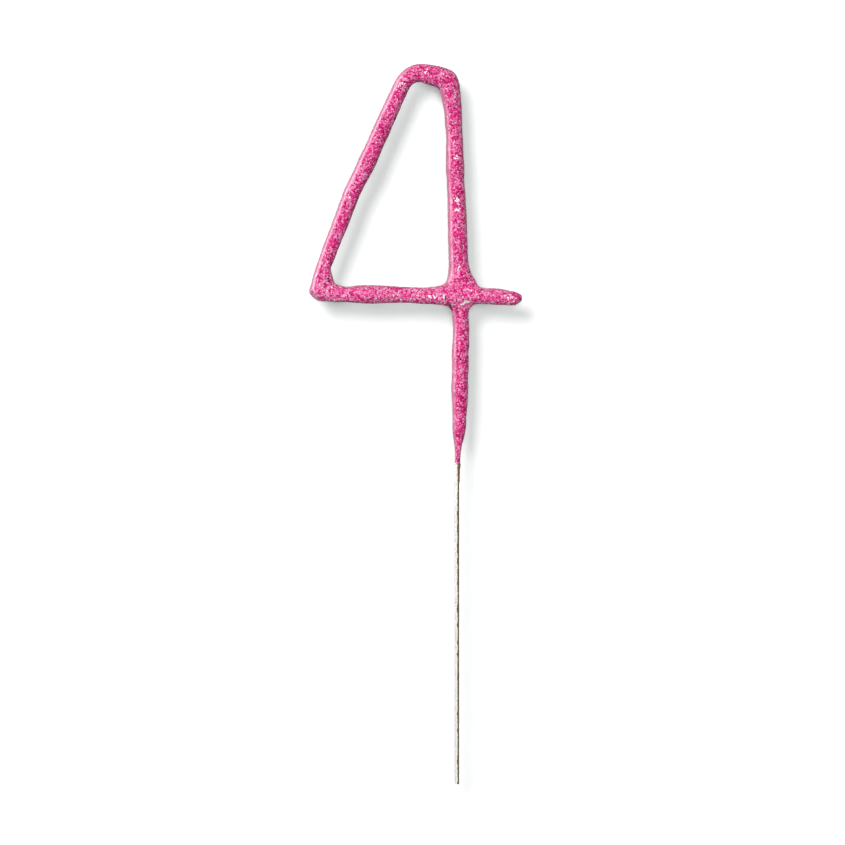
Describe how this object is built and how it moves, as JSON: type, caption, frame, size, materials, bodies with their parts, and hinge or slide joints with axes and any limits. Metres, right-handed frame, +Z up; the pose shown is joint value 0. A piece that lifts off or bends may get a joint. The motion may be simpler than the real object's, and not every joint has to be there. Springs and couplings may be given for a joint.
{
  "type": "number sparkler",
  "caption": "Hand-held sparkler in the shape of a figure 4: a bent steel wire dipped in spark composition under a hot-pink glitter coat, with a bare stick to hold or push into a cake.",
  "frame": {"origin": "middle of the wire's cut lower end, at the bottom of the bare stick", "axes": "+Z up the stick, +X to the right of the figure as it is read, +Y away from the reader"},
  "size_m": [0.0533, 0.0065, 0.1796],
  "materials": {
    "wire_steel": "plain drawn steel, slightly dulled",
    "composition": "dry grey crust, matt",
    "pink_coat": "hot-pink glitter, grainy and glossy"
  },
  "bodies": {
    "root": {"core_wire": "wire_steel", "spark_composition": "composition", "colour_coat": "pink_coat"}
  },
  "joints": []
}
